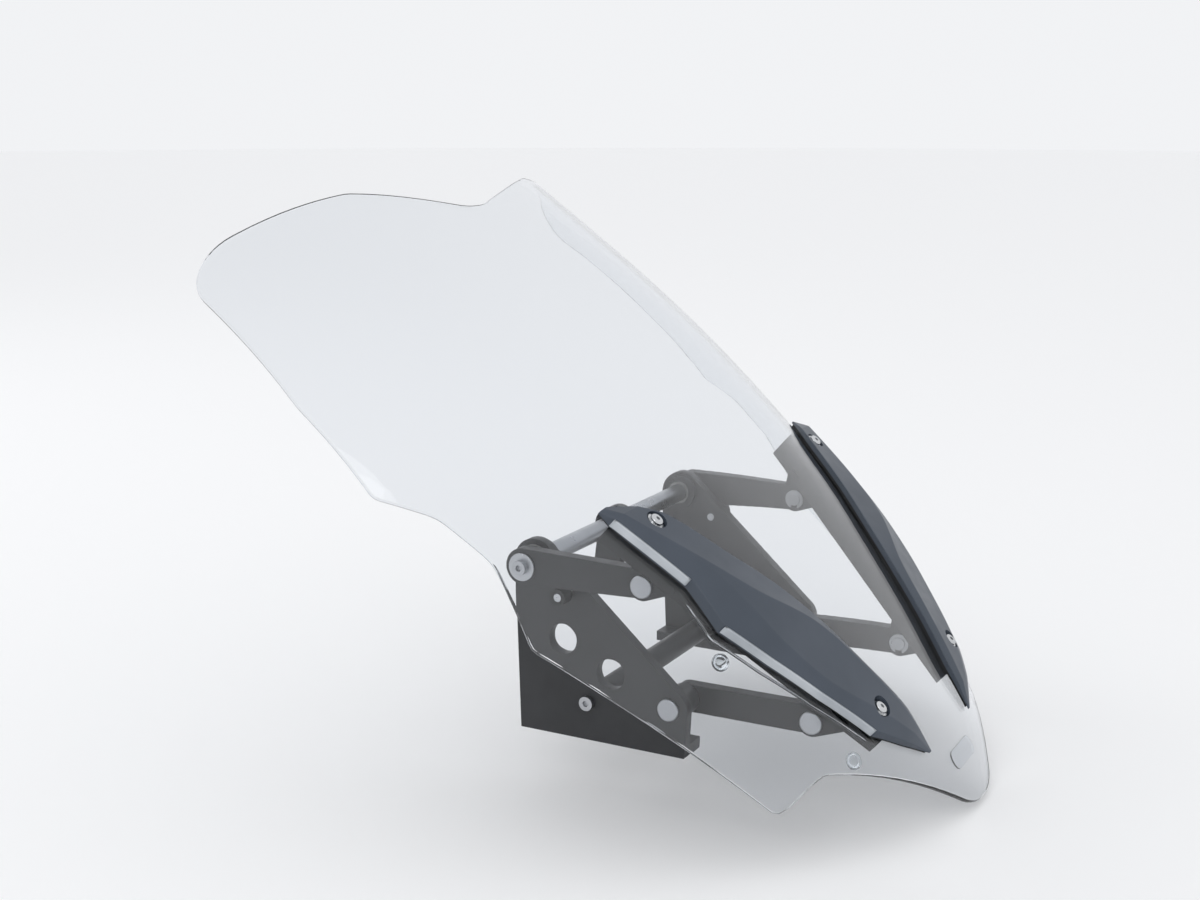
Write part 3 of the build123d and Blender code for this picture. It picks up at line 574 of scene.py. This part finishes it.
def turned(bm, centre, axis, profile, segments=ROUND_SIDES):
    """Solid of revolution about axis at centre, from (radius, height) in millimetres."""
    turn = axis.to_track_quat("Z", "Y").to_matrix()
    rows = []
    for radius, height in profile:
        row = []
        for k in range(segments):
            way = Vector((radius * cos(tau * k / segments), radius * sin(tau * k / segments), height))
            row.append(bm.verts.new(centre + turn @ way * MM))
        rows.append(row)
    bridge_rows(bm, rows)
    bm.faces.new(rows[0])
    bm.faces.new(reversed(rows[-1]))


def world_normal(x, s):
    n = sheet_normal(x, s)
    return Vector((n.x, 0, 0)) + UP_SLOPE * n.y + OUTWARD * n.z


def build_bumpers():
    """Clear domes with a flange, on the inner face of the sheet."""
    bm = bmesh.new()
    dome = [(BUMPER_RADIUS, 0.0), (BUMPER_RADIUS, BUMPER_FLANGE)]
    for k in range(BUMPER_ROWS):
        angle = pi / 2 * k / BUMPER_ROWS
        reach = (BUMPER_RADIUS - BUMPER_STEP) * cos(angle)
        dome.append((reach, BUMPER_FLANGE + (BUMPER_DOME - BUMPER_FLANGE) * sin(angle)))
    for x, s in BUMPERS:
        for side in (-1, 1):
            turned(bm, on_sheet(side * x, s, -SHEET_THICKNESS), -world_normal(side * x, s), dome)
    return bm


def build_badge():
    """Plain raised pad on the nose, with a rounded rim."""
    s0, width, depth, corner, height = BADGE
    half = [(width / 2, -depth / 2, corner), (width / 2, depth / 2, corner)]
    outline = rounded(mirrored_outline(half), BADGE_ARC_STEP, BADGE_ARC_LEAST)
    rim = [point + Vector((0, s0)) for point in outline]
    bm = bmesh.new()
    rows = []
    for inset, lift in ((0.0, BADGE_GAP), *((inset, share * height) for inset, share in BADGE_RIM)):
        row = []
        for point in rim:
            away = (Vector((0, s0)) - point).normalized() * inset
            row.append(bm.verts.new(on_sheet(point.x + away.x, point.y + away.y, lift)))
        rows.append(row)
    bridge_rows(bm, rows)
    bm.faces.new(rows[0])
    bm.faces.new(reversed(rows[-1]))
    return bm


def bored(piece, side):
    """Cuts the counterbores down to the washer seats."""
    bm = bmesh.new()
    for x, s, seat in FIXINGS:
        base = place(side * x, s, sheet_height(x, s) + seat)
        wall = [(COUNTERBORE_RADIUS, 0.0), (COUNTERBORE_RADIUS, COUNTERBORE_CUT)]
        turned(bm, base, OUTWARD, wall, COUNTERBORE_SIDES)
    bmesh.ops.recalc_face_normals(bm, faces=bm.faces)
    mesh = bpy.data.meshes.new("bore")
    bm.to_mesh(mesh)
    bm.free()
    cutter = bpy.data.objects.new("bore", mesh)
    bpy.context.scene.collection.objects.link(cutter)
    modifier = piece.modifiers.new("counterbores", "BOOLEAN")
    modifier.operation, modifier.object, modifier.solver = "DIFFERENCE", cutter, "EXACT"
    facets = piece.modifiers["facets"]
    facets.show_viewport = False
    evaluated = piece.evaluated_get(bpy.context.evaluated_depsgraph_get())
    cut = bpy.data.meshes.new_from_object(evaluated)
    piece.modifiers.remove(modifier)
    facets.show_viewport = True
    piece.data = cut
    bpy.data.objects.remove(cutter)
    cut.set_sharp_from_angle(angle=SHARP_ANGLE)


for side, hand in ((1, "left"), (-1, "right")):
    cover = make_piece(
        "trim_" + hand, build_trim(side), MATERIALS["trim_plastic"], "screen",
        ["trim_cover_" + hand]
    )
    bored(cover, side)
    for level, low, high in STRIPS:
        name = level + "_strip_" + hand
        band = build_strip(side, low, high)
        make_piece("band_" + name, band, MATERIALS["silver_strip"], "screen", [name])
    make_piece(
        "gasket_" + hand, build_gasket(side), MATERIALS["black_rubber"], "screen",
        ["trim_gasket_" + hand], smooth=False
    )

for name, shape, slot, node in (
    ("beads", build_beads(), "clear_sheet", "guide_beads"),
    ("bumpers", build_bumpers(), "clear_rubber", "stop_bumpers"),
    ("nose_pad", build_badge(), "clear_sheet", "nose_badge"),
):
    make_piece(name, shape, MATERIALS[slot], "screen", [node])


# ---------------------------------------------------------------- camera, light and floor
def build_camera():
    camera = bpy.data.objects.new("camera", bpy.data.cameras.new("camera"))
    bpy.context.scene.collection.objects.link(camera)
    camera.location = SCREEN_ORIGIN + CAMERA_OFFSET
    camera.rotation_euler = CAMERA_LOOK.to_track_quat("-Z", "Y").to_euler()
    camera.data.lens, camera.data.sensor_width = LENS, SENSOR
    bpy.context.scene.camera = camera


def build_light(name, location, size, power):
    light = bpy.data.lights.new(name, "AREA")
    light.shape, light.size, light.energy = "DISK", size, power
    lamp = bpy.data.objects.new(name, light)
    bpy.context.scene.collection.objects.link(lamp)
    centre = (CAD_BOX[0] + CAD_BOX[1]) / 2
    lamp.location = centre + Vector(location)
    lamp.rotation_euler = (centre - lamp.location).to_track_quat("-Z", "Y").to_euler()
    lamp.visible_camera = False


def build_floor():
    bm = bmesh.new()
    bmesh.ops.create_circle(bm, cap_ends=True, radius=FLOOR_RADIUS, segments=FLOOR_SIDES)
    mesh = bpy.data.meshes.new("floor")
    bm.to_mesh(mesh)
    bm.free()
    floor = bpy.data.objects.new("floor", mesh)
    bpy.context.scene.collection.objects.link(floor)
    floor.location.z = CAD_BOX[0].z - FLOOR_GAP
    material, tree, shader = new_material("floor_paper")
    shader.inputs["Base Color"].default_value = (FLOOR_GREY, FLOOR_GREY, FLOOR_GREY, 1)
    tree.links.new(spread(tree, noise(tree, 3.0), 0.85, 0.95), shader.inputs["Roughness"])
    mesh.materials.append(material)


def build_world(colour, strength):
    world = bpy.data.worlds.new("studio")
    world.use_nodes = True
    background = world.node_tree.nodes["Background"]
    background.inputs["Color"].default_value = (*colour, 1)
    background.inputs["Strength"].default_value = strength
    bpy.context.scene.world = world


build_camera()
build_floor()
build_world(WORLD_COLOUR, WORLD_STRENGTH)
for light in LIGHTS:
    build_light(*light)
bpy.context.scene.view_settings.view_transform = "Standard"
